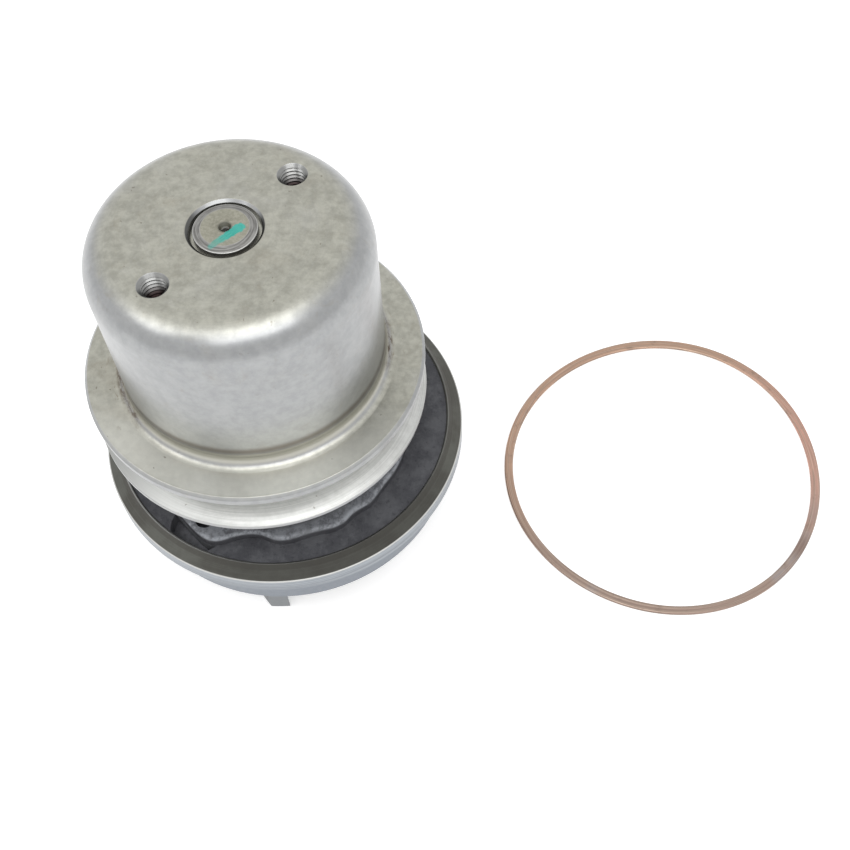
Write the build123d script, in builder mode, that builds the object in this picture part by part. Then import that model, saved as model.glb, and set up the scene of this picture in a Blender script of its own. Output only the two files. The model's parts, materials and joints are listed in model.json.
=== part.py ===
"""Cartridge coolant pump: a cup-shaped belt pulley on a ball-bearing shaft in an eccentric
round housing, with its impeller below and its flat seal ring lying beside it.

Frame: origin on the spigot axis at the flange's seating face, +Z up along the shaft towards
the pulley. The pump stands on its impeller's vane tips. Millimetres and degrees.
"""

from build123d import *
import math
import os

os.makedirs("parts", exist_ok=True)

# ---- fits and small breaks -------------------------------------------------------------------
RUNNING = 0.06         # radial clearance of a running fit
ROLLING = 0.08         # clearance of a ball in its races
FREE = 0.4             # gap between pieces that pass without touching
FACE_GAP = 0.05        # film between the two seal faces
EDGE_BREAK = 0.6       # small chamfer on turned edges
OVERCUT = 1.0          # how far a cut runs past the face it opens

# ---- housing: spigot, flange and rim ----------------------------------------------------------
ECCENTRICITY = 7.0     # shaft axis from spigot axis
ECCENTRIC_ANGLE = -126.0
SPIGOT_R = 76.2
SPIGOT_DEPTH = 22.4
SPIGOT_CHAMFER = 1.5
SPIGOT_WALL = 2.8      # thinnest wall round the impeller recess
SEAT_WIDTH = 6.35      # flange beyond the spigot
RIM_WIDTH = 6.75       # sloping clamping rim
RIM_EDGE_Z = 7.75      # height of the rim's outer edge
RIM_BREAK_IN = 2.2     # where the rim's slope steepens, from its inner edge
RIM_BREAK_DROP = 2.5
RIM_INNER_Z = 13.5     # height of the rim's inner edge
FLOOR_Z = 12.4         # rough casting inside the rim

# ---- housing: bearing tower ---------------------------------------------------------------------
NECK_WALL = 12.5       # round the bearings
NECK_LIP = 3.0         # neck above the circlip
FOOT_FLOOR = 6.8       # narrowest floor between the tower's foot and the rim
FOOT_HEIGHT = 5.6      # foot above the floor
FOOT_ROUND = 1.8
FOOT_STEP = 8.0        # width of the foot's shoulder
FOOT_RISE = 2.0
CONE_HEIGHT = 24.0     # from the foot's shoulder to the neck
# uneven cast outline of the foot: angle and bulge, with the weep boss at its front
FOOT_WAVES = [
    (-134, 0.0), (-126, -1.2), (-120, 0.2), (-115, 1.8), (-110, 2.9), (-106, 2.4), (-101, -0.8),
    (-97, -2.9), (-92, -4.0), (-88, -3.4), (-83, -1.1), (-78, -0.3), (-72, -0.8), (-67, -0.9),
    (-60, 0.6), (-54, 0.9), (-48, -0.4), (-42, 0.6), (-34, 0.0), (-24, 0.3), (-10, 0.5),
    (8, 0.0), (28, 0.6), (48, -0.3), (70, 0.4), (92, 0.0), (112, 0.7), (132, -0.2),
    (152, 0.5), (172, 0.0), (190, 0.4), (208, -0.3),
]

# ---- housing: weep hole and the pocket beside it ---------------------------------------------------
WEEP_ANGLE = -114.5
WEEP_INSET = 4.8       # weep hole inside the foot's edge
WEEP_FACE_R = 6.6      # flat spot round the weep hole
WEEP_R = 4.2
WEEP_DEPTH = 9.0
WEEP_PASSAGE_R = 3.0
POCKET_R = 12.8
POCKET_INSET = 9.8     # pocket centre inside the rim's inner edge
POCKET_ANGLE = -118.0
POCKET_DEPTH = 7.4
POCKET_WALL = 0.8      # left between the pocket and the rim

# ---- housing: water side ------------------------------------------------------------------------------
RECESS_CLEAR = 1.2     # impeller shroud to recess wall
RECESS_DEPTH = 8.4
CORE_GAP = 6.0         # cored annulus outside the impeller's hub
CORE_WALL = 10.4       # between the cored annulus and the recess wall
CORE_TOP = 3.0
CORE_ROUND = 4.0
SEAL_BOSS_HEIGHT = 11.0  # seal boss above the recess
CHAMBER_HEIGHT = 14.4  # slinger chamber
THROAT_T = 10.0        # between the slinger chamber and the seal bore

# ---- ball bearings -------------------------------------------------------------------------------------
BEARING_BORE_R = 12.5
BEARING_OUT_R = 31.0
BEARING_ROUND = 0.5
BALL_R = 5.7
BALL_COUNT = 7
CAGE_RIM = 1.1         # cage beyond the balls
INNER_SHOULDER = 3.6   # inner ring's land below the ball circle
OUTER_SHOULDER = 4.0   # outer ring's land above the ball circle
CAGE_T = 1.8
CAGE_CLEAR = 0.12
SHIELD_T = 0.5
SHIELD_INSET = 0.8     # shield below the ring's face
SHIELD_SEAT = 1.2      # depth of the shield's groove in the outer ring
REAR_BEARING_Z = 43.0
SPACER_LENGTH = 31.0
SPACER_WALL = 3.0
CIRCLIP_T = 2.0
CIRCLIP_GROOVE = 1.6
CIRCLIP_WIDTH = 4.4
CIRCLIP_OPENING = 5.0
CIRCLIP_EAR_R = 3.2
CIRCLIP_EYE_R = 1.2
CIRCLIP_EAR_ANGLE = 11.0

# ---- grease seal ------------------------------------------------------------------------------------------
GREASE_HEIGHT = 6.6
GREASE_WIDTH = 8.0     # across the seal, shaft to bore
GREASE_WALL = 1.0
LIP_PLATE = 1.4

# ---- shaft --------------------------------------------------------------------------------------------------
SHOULDER_STEP = 3.0    # shoulder above the bearing seat
PULLEY_SEAT_STEP = 0.5 # pulley seat below the bearing seat
SEAL_SEAT_STEP = 2.5   # seal diameter below the bearing seat
IMPELLER_SEAT_STEP = 2.0
SHAFT_TAIL = 3.0       # shaft below the impeller's hub
SHAFT_END_BEVEL = 3.0  # width and drop of the bevel round the shaft's end
SHAFT_END_DROP = 0.8
SHAFT_END_PROUD = 0.4  # shaft above the pulley
SHAFT_END_ROUND = 0.3
CENTRE_HOLE_R = 2.3
CENTRE_DRILL_R = 1.2
CENTRE_DRILL_DEPTH = 5.0
CENTRE_ANGLE = 60.0

# ---- pulley ---------------------------------------------------------------------------------------------------
CUP_CLEAR = 3.5        # cup bore outside the housing neck
CUP_WALL = 7.5
HUB_LENGTH = 39.7
HUB_WALL = 8.9
HUB_GAP = 0.3          # hub above the front bearing
WEB_T = 16.0
CUP_CORNER = 14.8
CUP_ROOT = 4.5
CUP_MOUTH = 2.0
BORE_RELIEF = 1.47     # relief round the shaft's end
BORE_RELIEF_DEPTH = 3.2
BORE_CHAMFER = 1.0
PULLEY_BOTTOM = 46.3
PULLEY_FLANGE = 16.5   # rim beyond the cup
RIM_HEIGHT = 25.05
UPPER_LAND = 4.0
LOWER_LAND = 2.5
GROOVE_DEPTH = 12.8
GROOVE_HALF_ANGLE = 18.0
RIM_CHAMFER = 1.2
PULLER_PCD = 69.85
PULLER_ANGLE = -128.0
PULLER_SINK = 1.2      # countersink, as deep as it is wide
THREAD_MINOR_R = 4.68
THREAD_MAJOR_R = 5.55
THREAD_PITCH = 1.814
THREAD_CREST = 0.35

# ---- mechanical seal ----------------------------------------------------------------------------------------------
SHELL_WALL = 1.0
SHELL_FLANGE = 3.5
BELLOWS_CLEAR = 1.4    # bellows outside the shaft
BELLOWS_WALL = 2.2
BELLOWS_COLLAR = 2.0
BELLOWS_FOLD = 0.7
SPRING_WIRE = 1.3
SPRING_GAP = 1.75      # between the bellows and the wire
SPRING_TURNS = 4
RETAINER_T = 0.8
CARBON_CLEAR = 1.0
CARBON_WIDTH = 4.0
CARBON_DROP = 3.0      # carbon's back below the seal boss
CARBON_T = 3.2
CARBON_NOSE = 1.4
SEAT_CLEAR = 0.8
SEAT_WIDTH_MORE = 0.4  # ceramic seat beyond the carbon
SEAT_T = 4.6
SEAT_CUP_WALL = 2.0
SEAT_PROUD = 1.2       # seat above its rubber cup

# ---- slinger --------------------------------------------------------------------------------------------------------
SLINGER_RISE = 6.0     # above the chamber's floor
SLINGER_T = 2.4
SLINGER_CLEAR = 3.0    # inside the chamber wall
SLINGER_HUB = 2.2

# ---- impeller ---------------------------------------------------------------------------------------------------------
SHROUD_T = 5.3
VANE_HEIGHT = 24.9
VANE_COUNT = 6
VANE_T = 6.6
VANE_LEAN = 41.0       # angle of the vane from the radius
VANE_TIP_ANGLE = -87.0
VANE_ROOT_OUT = 3.0    # vane root outside the hub
VANE_CHAMFER = 0.5
HUB_WALL_OUT = 3.6     # hub outside the seat's rubber cup
HUB_TAIL_WALL = 7.0
HUB_TAIL_LENGTH = 13.5 # hub below the shroud
JACK_HOLE_R = 2.6
JACK_HOLE_DEPTH = 9.0
BALANCE_HOLE_R = 2.8
BALANCE_HOLE_OUT = 10.0  # outside the hub
BALANCE_HOLE_TURN = 8.0

# ---- loose seal ring --------------------------------------------------------------------------------------------------------
RING_CLEAR = 0.45      # radial clearance on the spigot
RING_WIDTH = 4.7
RING_T = 1.6
RING_ROUND = 0.35
RING_X = 185.7
RING_Y = 10.6

# ---- derived sizes -----------------------------------------------------------------------------------------------------------
SPIGOT_AXIS = (0.0, 0.0)
SHAFT_AXIS = (
    ECCENTRICITY * math.cos(math.radians(ECCENTRIC_ANGLE)),
    ECCENTRICITY * math.sin(math.radians(ECCENTRIC_ANGLE)),
)
FLANGE_R = SPIGOT_R + SEAT_WIDTH
RIM_INNER_R = FLANGE_R - RIM_WIDTH
RECESS_R = SPIGOT_R - ECCENTRICITY - SPIGOT_WALL
RECESS_TOP = RECESS_DEPTH - SPIGOT_DEPTH
SEAL_BOSS_BOTTOM = RECESS_TOP + SEAL_BOSS_HEIGHT
IMPELLER_R = RECESS_R - RECESS_CLEAR
FOOT_R = RIM_INNER_R - ECCENTRICITY - FOOT_FLOOR
FOOT_Z = FLOOR_Z + FOOT_HEIGHT
NECK_R = BEARING_OUT_R + NECK_WALL
CUP_BORE_R = NECK_R + CUP_CLEAR
CUP_R = CUP_BORE_R + CUP_WALL
PULLEY_R = CUP_R + PULLEY_FLANGE
PULLEY_TOP = PULLEY_BOTTOM + RIM_HEIGHT

BEARING_WIDTH = 2 * (BALL_R + CAGE_RIM + FREE + SHIELD_T + SHIELD_INSET)
BALL_PITCH_R = (BEARING_BORE_R + BEARING_OUT_R) / 2
INNER_RING_R = BALL_PITCH_R - INNER_SHOULDER
OUTER_RING_R = BALL_PITCH_R + OUTER_SHOULDER
REAR_BEARING_TOP = REAR_BEARING_Z + BEARING_WIDTH
FRONT_BEARING_Z = REAR_BEARING_TOP + SPACER_LENGTH
FRONT_BEARING_TOP = FRONT_BEARING_Z + BEARING_WIDTH
NECK_TOP = FRONT_BEARING_TOP + CIRCLIP_T + NECK_LIP
HUB_BOTTOM = FRONT_BEARING_TOP + HUB_GAP
CUP_TOP = HUB_BOTTOM + HUB_LENGTH

SHAFT_SHOULDER_R = BEARING_BORE_R + SHOULDER_STEP
SHAFT_PULLEY_R = BEARING_BORE_R - PULLEY_SEAT_STEP
SHAFT_SEAL_R = BEARING_BORE_R - SEAL_SEAT_STEP
SHAFT_IMPELLER_R = SHAFT_SEAL_R - IMPELLER_SEAT_STEP
SHAFT_TOP = CUP_TOP + SHAFT_END_PROUD
HUB_R = SHAFT_PULLEY_R + HUB_WALL

GREASE_Z = REAR_BEARING_Z - GREASE_HEIGHT
GREASE_BORE_R = SHAFT_SHOULDER_R + GREASE_WIDTH
CHAMBER_BOTTOM = GREASE_Z - CHAMBER_HEIGHT
SEAL_BORE_TOP = CHAMBER_BOTTOM - THROAT_T

BELLOWS_BORE_R = SHAFT_SEAL_R + BELLOWS_CLEAR
BELLOWS_R = BELLOWS_BORE_R + BELLOWS_WALL
SPRING_R = BELLOWS_R + SPRING_GAP + SPRING_WIRE / 2
SEAL_BORE_R = SPRING_R + SPRING_WIRE / 2 + SPRING_GAP - FREE + SHELL_WALL
SHELL_HOLE_R = SHAFT_SEAL_R + BELLOWS_WALL
SHELL_BORE_R = SEAL_BORE_R - SHELL_WALL
CHAMBER_R = SEAL_BORE_R + SHELL_WALL
THROAT_R = SHAFT_SEAL_R + SHOULDER_STEP
SLINGER_R = CHAMBER_R - SLINGER_CLEAR
SLINGER_Z = CHAMBER_BOTTOM + SLINGER_RISE
CARBON_BORE_R = SHAFT_SEAL_R + CARBON_CLEAR
CARBON_R = CARBON_BORE_R + CARBON_WIDTH
SEAT_BORE_R = SHAFT_SEAL_R + SEAT_CLEAR
SEAT_R = CARBON_R + SEAT_WIDTH_MORE
CARBON_TOP = SEAL_BOSS_BOTTOM - CARBON_DROP
SEAL_FACE_Z = CARBON_TOP - CARBON_T
SEAT_TOP = SEAL_FACE_Z - FACE_GAP
SEAT_BOTTOM = SEAT_TOP - SEAT_T
SEAT_CUP_R = SEAT_R + SEAT_CUP_WALL
SEAT_FLOOR = SEAT_BOTTOM - SEAT_CUP_WALL

IMPELLER_HUB_R = SEAT_CUP_R + HUB_WALL_OUT
IMPELLER_HUB_TOP = SEAT_TOP - FREE
SHROUD_TOP = RECESS_TOP - RECESS_CLEAR
SHROUD_BOTTOM = SHROUD_TOP - SHROUD_T
VANE_TIP_Z = SHROUD_BOTTOM - VANE_HEIGHT
HUB_TAIL_Z = SHROUD_BOTTOM - HUB_TAIL_LENGTH
SHAFT_BOTTOM = HUB_TAIL_Z - SHAFT_TAIL
HUB_TAIL_R = SHAFT_IMPELLER_R + HUB_TAIL_WALL
CORE_INNER_R = IMPELLER_HUB_R + CORE_GAP
CORE_OUTER_R = RECESS_R - CORE_WALL


def polar(centre, distance, angle):
    """Point at a distance and an angle in degrees from a centre."""
    swing = math.radians(angle)
    return (centre[0] + distance * math.cos(swing), centre[1] + distance * math.sin(swing))


def upright(centre):
    """Half plane through an upright axis: local x is the radius, local y the height."""
    return Plane(origin=(*centre, 0), x_dir=(1, 0, 0), z_dir=(0, -1, 0))


def turn(outline, centre=SHAFT_AXIS, mode=Mode.ADD):
    """Revolve an outline of (radius, height, corner radius) about an upright axis."""
    with BuildSketch(upright(centre)) as section:
        with BuildLine():
            FilletPolyline(
                *[(radius, height) for radius, height, _ in outline],
                radius=[corner for _, _, corner in outline],
                close=True,
            )
        make_face()
    revolve(section.sketch, axis=Axis((*centre, 0), (0, 0, 1)), mode=mode)


def tube(inner, outer, bottom, top, centre=SHAFT_AXIS, corner=0.0, mode=Mode.ADD):
    """Ring, or disc where inner is 0, between two heights."""
    turn(
        [(inner, bottom, corner), (outer, bottom, corner), (outer, top, corner), (inner, top, corner)],
        centre,
        mode,
    )


def save(piece, name):
    """Label a finished piece and write its STEP file."""
    piece.part.label = name
    export_step(piece.part, f"parts/{name}.step")


# ---- housing -------------------------------------------------------------------------------------------------
weep_centre = polar(SHAFT_AXIS, FOOT_R - WEEP_INSET, WEEP_ANGLE)
pocket_centre = polar(SPIGOT_AXIS, RIM_INNER_R - POCKET_INSET, POCKET_ANGLE)
pocket_floor = FLOOR_Z - POCKET_DEPTH

with BuildPart() as pump_housing:
    # spigot, and the flange with its sloping rim above it
    turn(
        [
            (0, -SPIGOT_DEPTH, 0),
            (SPIGOT_R - SPIGOT_CHAMFER, -SPIGOT_DEPTH, 0),
            (SPIGOT_R, -SPIGOT_DEPTH + SPIGOT_CHAMFER, 0),
            (SPIGOT_R, 0, 0),
            (FLANGE_R - EDGE_BREAK, 0, 0),
            (FLANGE_R, EDGE_BREAK, 0),
            (FLANGE_R, RIM_EDGE_Z, EDGE_BREAK),
            (RIM_INNER_R + RIM_BREAK_IN, RIM_INNER_Z - RIM_BREAK_DROP, 0),
            (RIM_INNER_R + EDGE_BREAK, RIM_INNER_Z, EDGE_BREAK / 3),
            (RIM_INNER_R, RIM_INNER_Z, EDGE_BREAK / 3),
            (RIM_INNER_R - EDGE_BREAK, FLOOR_Z, 0),
            (0, FLOOR_Z, 0),
        ],
        SPIGOT_AXIS,
    )
    # pocket beside the weep hole, kept inside the rim
    with BuildSketch(Plane.XY.offset(pocket_floor)):
        with Locations(pocket_centre):
            Circle(POCKET_R)
        Circle(RIM_INNER_R - POCKET_WALL, mode=Mode.INTERSECT)
    extrude(amount=POCKET_DEPTH + OVERCUT, mode=Mode.SUBTRACT)
    # tower: cast foot, with a rounded edge
    with BuildSketch(Plane.XY.offset(pocket_floor)):
        with BuildLine():
            Spline(
                *[polar(SHAFT_AXIS, FOOT_R + bulge, angle) for angle, bulge in FOOT_WAVES],
                periodic=True,
            )
        make_face()
    extrude(amount=FOOT_Z - pocket_floor)
    fillet(pump_housing.edges().group_by(Axis.Z)[-1], radius=FOOT_ROUND)
    # tower: shoulder, cone and neck
    shoulder_r = FOOT_R - FOOT_STEP
    shoulder_z = FOOT_Z + FOOT_RISE
    turn(
        [
            (0, CORE_TOP, 0),
            (shoulder_r, CORE_TOP, 0),
            (shoulder_r, FOOT_Z - FOOT_RISE, 0),
            (shoulder_r + FOOT_RISE, FOOT_Z - EDGE_BREAK, 0),
            (shoulder_r, shoulder_z, 5.0),
            (NECK_R, shoulder_z + CONE_HEIGHT, 9.0),
            (NECK_R, NECK_TOP - EDGE_BREAK, 0),
            (NECK_R - EDGE_BREAK, NECK_TOP, 0),
            (0, NECK_TOP, 0),
        ]
    )
    # flat spot round the weep hole
    tube(0, WEEP_FACE_R, FOOT_Z, NECK_TOP, weep_centre, mode=Mode.SUBTRACT)
    # bearing bore and circlip groove
    tube(0, BEARING_OUT_R, REAR_BEARING_Z, NECK_TOP + OVERCUT, mode=Mode.SUBTRACT)
    groove_r = BEARING_OUT_R + CIRCLIP_GROOVE
    tube(0, groove_r, FRONT_BEARING_TOP, FRONT_BEARING_TOP + CIRCLIP_T, mode=Mode.SUBTRACT)
    # grease seal bore, slinger chamber, throat and seal bore
    tube(0, GREASE_BORE_R, GREASE_Z, REAR_BEARING_Z + OVERCUT, mode=Mode.SUBTRACT)
    tube(0, CHAMBER_R, CHAMBER_BOTTOM, GREASE_Z + OVERCUT, mode=Mode.SUBTRACT)
    tube(0, THROAT_R, SEAL_BORE_TOP - OVERCUT, CHAMBER_BOTTOM + OVERCUT, mode=Mode.SUBTRACT)
    tube(0, SEAL_BORE_R, -SPIGOT_DEPTH - OVERCUT, SEAL_BORE_TOP, mode=Mode.SUBTRACT)
    # impeller recess, seal boss clearance and the cored annulus above the impeller
    tube(0, RECESS_R, -SPIGOT_DEPTH - OVERCUT, RECESS_TOP, mode=Mode.SUBTRACT)
    tube(0, CORE_INNER_R, RECESS_TOP - OVERCUT, SEAL_BOSS_BOTTOM, mode=Mode.SUBTRACT)
    turn(
        [
            (CORE_INNER_R, RECESS_TOP - OVERCUT, 0),
            (CORE_OUTER_R, RECESS_TOP - OVERCUT, 0),
            (CORE_OUTER_R, CORE_TOP, CORE_ROUND),
            (CORE_INNER_R, CORE_TOP, CORE_ROUND),
        ],
        mode=Mode.SUBTRACT,
    )
    # weep hole, and the passage that climbs from it to the slinger chamber
    weep_floor = FOOT_Z - WEEP_DEPTH
    tube(0, WEEP_R, weep_floor, FOOT_Z + OVERCUT, weep_centre, mode=Mode.SUBTRACT)
    passage_start = Vector(*weep_centre, weep_floor + WEEP_PASSAGE_R)
    passage_end = Vector(
        *polar(SHAFT_AXIS, CHAMBER_R - WEEP_PASSAGE_R, WEEP_ANGLE),
        CHAMBER_BOTTOM + WEEP_PASSAGE_R + OVERCUT,
    )
    passage = passage_end - passage_start
    with BuildSketch(Plane(origin=passage_start, z_dir=passage)) as passage_mouth:
        Circle(WEEP_PASSAGE_R)
    extrude(passage_mouth.sketch, amount=passage.length, mode=Mode.SUBTRACT)
save(pump_housing, "pump_housing")


# ---- ball bearings ---------------------------------------------------------------------------------------------
def cut_ball_track(middle):
    """Ball track, cut from whichever ring is being made."""
    with BuildSketch(upright(SHAFT_AXIS)) as track:
        with Locations((BALL_PITCH_R, middle)):
            Circle(BALL_R + ROLLING)
    revolve(track.sketch, axis=Axis((*SHAFT_AXIS, 0), (0, 0, 1)), mode=Mode.SUBTRACT)


def make_bearing(prefix, bottom):
    """Outer ring, inner ring, balls, cage and two shields of one bearing."""
    middle = bottom + BEARING_WIDTH / 2
    top = bottom + BEARING_WIDTH
    shield_lows = (bottom + SHIELD_INSET, top - SHIELD_INSET - SHIELD_T)
    shield_r = OUTER_RING_R + SHIELD_SEAT

    with BuildPart() as outer_ring:
        tube(OUTER_RING_R, BEARING_OUT_R, bottom, top, corner=BEARING_ROUND)
        for low in shield_lows:
            tube(OUTER_RING_R - OVERCUT, shield_r, low, low + SHIELD_T, mode=Mode.SUBTRACT)
        cut_ball_track(middle)
    save(outer_ring, f"{prefix}_bearing_outer_ring")

    with BuildPart() as inner_ring:
        tube(BEARING_BORE_R, INNER_RING_R, bottom, top, corner=BEARING_ROUND)
        cut_ball_track(middle)
    save(inner_ring, f"{prefix}_bearing_inner_ring")

    with BuildPart() as balls:
        with Locations((*SHAFT_AXIS, middle)):
            with PolarLocations(BALL_PITCH_R, BALL_COUNT):
                Sphere(BALL_R)
    save(balls, f"{prefix}_bearing_balls")

    with BuildPart() as cage:
        half_width = BALL_R + CAGE_RIM
        tube(
            BALL_PITCH_R - CAGE_T / 2,
            BALL_PITCH_R + CAGE_T / 2,
            middle - half_width,
            middle + half_width,
        )
        with Locations((*SHAFT_AXIS, middle)):
            with PolarLocations(BALL_PITCH_R, BALL_COUNT):
                Cylinder(
                    BALL_R + CAGE_CLEAR,
                    4 * CAGE_T,
                    rotation=(0, 90, 0),
                    mode=Mode.SUBTRACT,
                )
    save(cage, f"{prefix}_bearing_cage")

    with BuildPart() as shields:
        for low in shield_lows:
            tube(INNER_RING_R + FREE, shield_r, low, low + SHIELD_T)
    save(shields, f"{prefix}_bearing_shields")


make_bearing("rear", REAR_BEARING_Z)
make_bearing("front", FRONT_BEARING_Z)

with BuildPart() as bearing_spacer_outer:
    tube(BEARING_OUT_R - SPACER_WALL, BEARING_OUT_R, REAR_BEARING_TOP, FRONT_BEARING_Z)
save(bearing_spacer_outer, "bearing_spacer_outer")

with BuildPart() as bearing_spacer_inner:
    tube(BEARING_BORE_R, BEARING_BORE_R + SPACER_WALL, REAR_BEARING_TOP, FRONT_BEARING_Z)
save(bearing_spacer_inner, "bearing_spacer_inner")

with BuildPart() as bearing_circlip:
    clip_inner_r = groove_r - CIRCLIP_WIDTH
    ears = [polar(SHAFT_AXIS, clip_inner_r, 90 + side * CIRCLIP_EAR_ANGLE) for side in (-1, 1)]
    with BuildSketch(Plane.XY.offset(FRONT_BEARING_TOP)):
        with Locations(SHAFT_AXIS):
            Circle(groove_r)
            Circle(clip_inner_r, mode=Mode.SUBTRACT)
        with Locations(*ears):
            Circle(CIRCLIP_EAR_R)
        with Locations((SHAFT_AXIS[0], SHAFT_AXIS[1] + groove_r)):
            Rectangle(CIRCLIP_OPENING, 4 * CIRCLIP_WIDTH, mode=Mode.SUBTRACT)
        with Locations(*ears):
            Circle(CIRCLIP_EYE_R, mode=Mode.SUBTRACT)
    extrude(amount=CIRCLIP_T)
save(bearing_circlip, "bearing_circlip")

# ---- grease seal between the rear bearing and the slinger chamber ------------------------------------------------
case_bore_r = GREASE_BORE_R - GREASE_WALL
case_floor_r = SHAFT_SHOULDER_R + SHOULDER_STEP
case_floor = GREASE_Z + GREASE_WALL
case_top = REAR_BEARING_Z - FREE / 2
with BuildPart() as grease_seal_case:
    turn(
        [
            (case_floor_r, GREASE_Z, 0),
            (GREASE_BORE_R, GREASE_Z, GREASE_WALL / 2),
            (GREASE_BORE_R, case_top, 0),
            (case_bore_r, case_top, 0),
            (case_bore_r, case_floor, 0),
            (case_floor_r, case_floor, 0),
        ]
    )
save(grease_seal_case, "grease_seal_case")

with BuildPart() as grease_seal_lip:
    lip_r = SHAFT_SHOULDER_R + RUNNING
    lip_top = case_top - 2 * FREE
    turn(
        [
            (lip_r + 1.2, case_floor, 0),
            (case_bore_r, case_floor, 0),
            (case_bore_r, case_floor + LIP_PLATE, 0),
            (lip_r + 3.0, case_floor + LIP_PLATE, 0),
            (lip_r + 2.4, lip_top, 0),
            (lip_r + 1.0, lip_top, 0),
            (lip_r, lip_top - 1.1, 0),
        ]
    )
save(grease_seal_lip, "grease_seal_lip")

# ---- mechanical seal -----------------------------------------------------------------------------------------------
shell_roof = SEAL_BORE_TOP - SHELL_WALL
shell_mouth = SEAL_BOSS_BOTTOM - SHELL_WALL
collar_bottom = shell_roof - BELLOWS_COLLAR
retainer_top = CARBON_TOP + RETAINER_T

with BuildPart() as seal_shell:
    turn(
        [
            (SHELL_HOLE_R, SEAL_BORE_TOP, 0),
            (SHELL_HOLE_R, shell_roof, 0),
            (SHELL_BORE_R, shell_roof, SHELL_WALL / 2),
            (SHELL_BORE_R, shell_mouth, 0),
            (SEAL_BORE_R + SHELL_FLANGE, shell_mouth, 0),
            (SEAL_BORE_R + SHELL_FLANGE, SEAL_BOSS_BOTTOM, 0),
            (SEAL_BORE_R, SEAL_BOSS_BOTTOM, 0),
            (SEAL_BORE_R, SEAL_BORE_TOP, SHELL_WALL),
        ]
    )
save(seal_shell, "seal_shell")

with BuildPart() as seal_bellows:
    fold_middle = (collar_bottom + CARBON_TOP) / 2
    fold_half = 2 * BELLOWS_FOLD
    collar_r = SHELL_BORE_R - FREE
    turn(
        [
            (BELLOWS_BORE_R, CARBON_TOP, 0),
            (BELLOWS_R, CARBON_TOP, 0),
            (BELLOWS_R, fold_middle - fold_half, 0),
            (BELLOWS_R + BELLOWS_FOLD, fold_middle, BELLOWS_FOLD),
            (BELLOWS_R, fold_middle + fold_half, 0),
            (BELLOWS_R, collar_bottom, 0),
            (collar_r, collar_bottom, 0),
            (collar_r, shell_roof - SHELL_WALL, 0),
            (collar_r - SHELL_WALL, shell_roof, 0),
            (BELLOWS_BORE_R + SHELL_WALL, shell_roof, 0),
            (BELLOWS_BORE_R, shell_roof - SHELL_WALL, 0),
        ]
    )
save(seal_bellows, "seal_bellows")

# washer that takes the spring's thrust onto the carbon
with BuildPart() as seal_retainer:
    tube(BELLOWS_R, SPRING_R + SPRING_WIRE / 2 + FREE, CARBON_TOP, retainer_top)
save(seal_retainer, "seal_retainer")

with BuildPart() as seal_carbon:
    nose_r = CARBON_R - CARBON_NOSE
    turn(
        [
            (CARBON_BORE_R, SEAL_FACE_Z, 0),
            (nose_r, SEAL_FACE_Z, 0),
            (nose_r, SEAL_FACE_Z + CARBON_NOSE, 0),
            (CARBON_R, SEAL_FACE_Z + CARBON_NOSE, 0),
            (CARBON_R, CARBON_TOP, 0),
            (CARBON_BORE_R, CARBON_TOP, 0),
        ]
    )
save(seal_carbon, "seal_carbon")

with BuildPart() as seal_spring:
    spring_bottom = retainer_top + SPRING_WIRE / 2
    spring_height = collar_bottom - SPRING_WIRE / 2 - spring_bottom
    with BuildLine() as coil:
        Helix(
            pitch=spring_height / SPRING_TURNS,
            height=spring_height,
            radius=SPRING_R,
            center=(*SHAFT_AXIS, spring_bottom),
        )
    with BuildSketch(Plane(origin=coil.line @ 0, z_dir=coil.line % 0)):
        Circle(SPRING_WIRE / 2)
    sweep(path=coil.line)
save(seal_spring, "seal_spring")

with BuildPart() as seal_seat:
    tube(SEAT_BORE_R, SEAT_R, SEAT_BOTTOM, SEAT_TOP, corner=0.3)
save(seal_seat, "seal_seat")

with BuildPart() as seal_seat_cup:
    turn(
        [
            (SEAT_BORE_R, SEAT_FLOOR, 0),
            (SEAT_CUP_R, SEAT_FLOOR, 0),
            (SEAT_CUP_R, SEAT_TOP - SEAT_PROUD, 0),
            (SEAT_R, SEAT_TOP - SEAT_PROUD, 0),
            (SEAT_R, SEAT_BOTTOM, 0),
            (SEAT_BORE_R, SEAT_BOTTOM, 0),
        ]
    )
save(seal_seat_cup, "seal_seat_cup")

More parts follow.
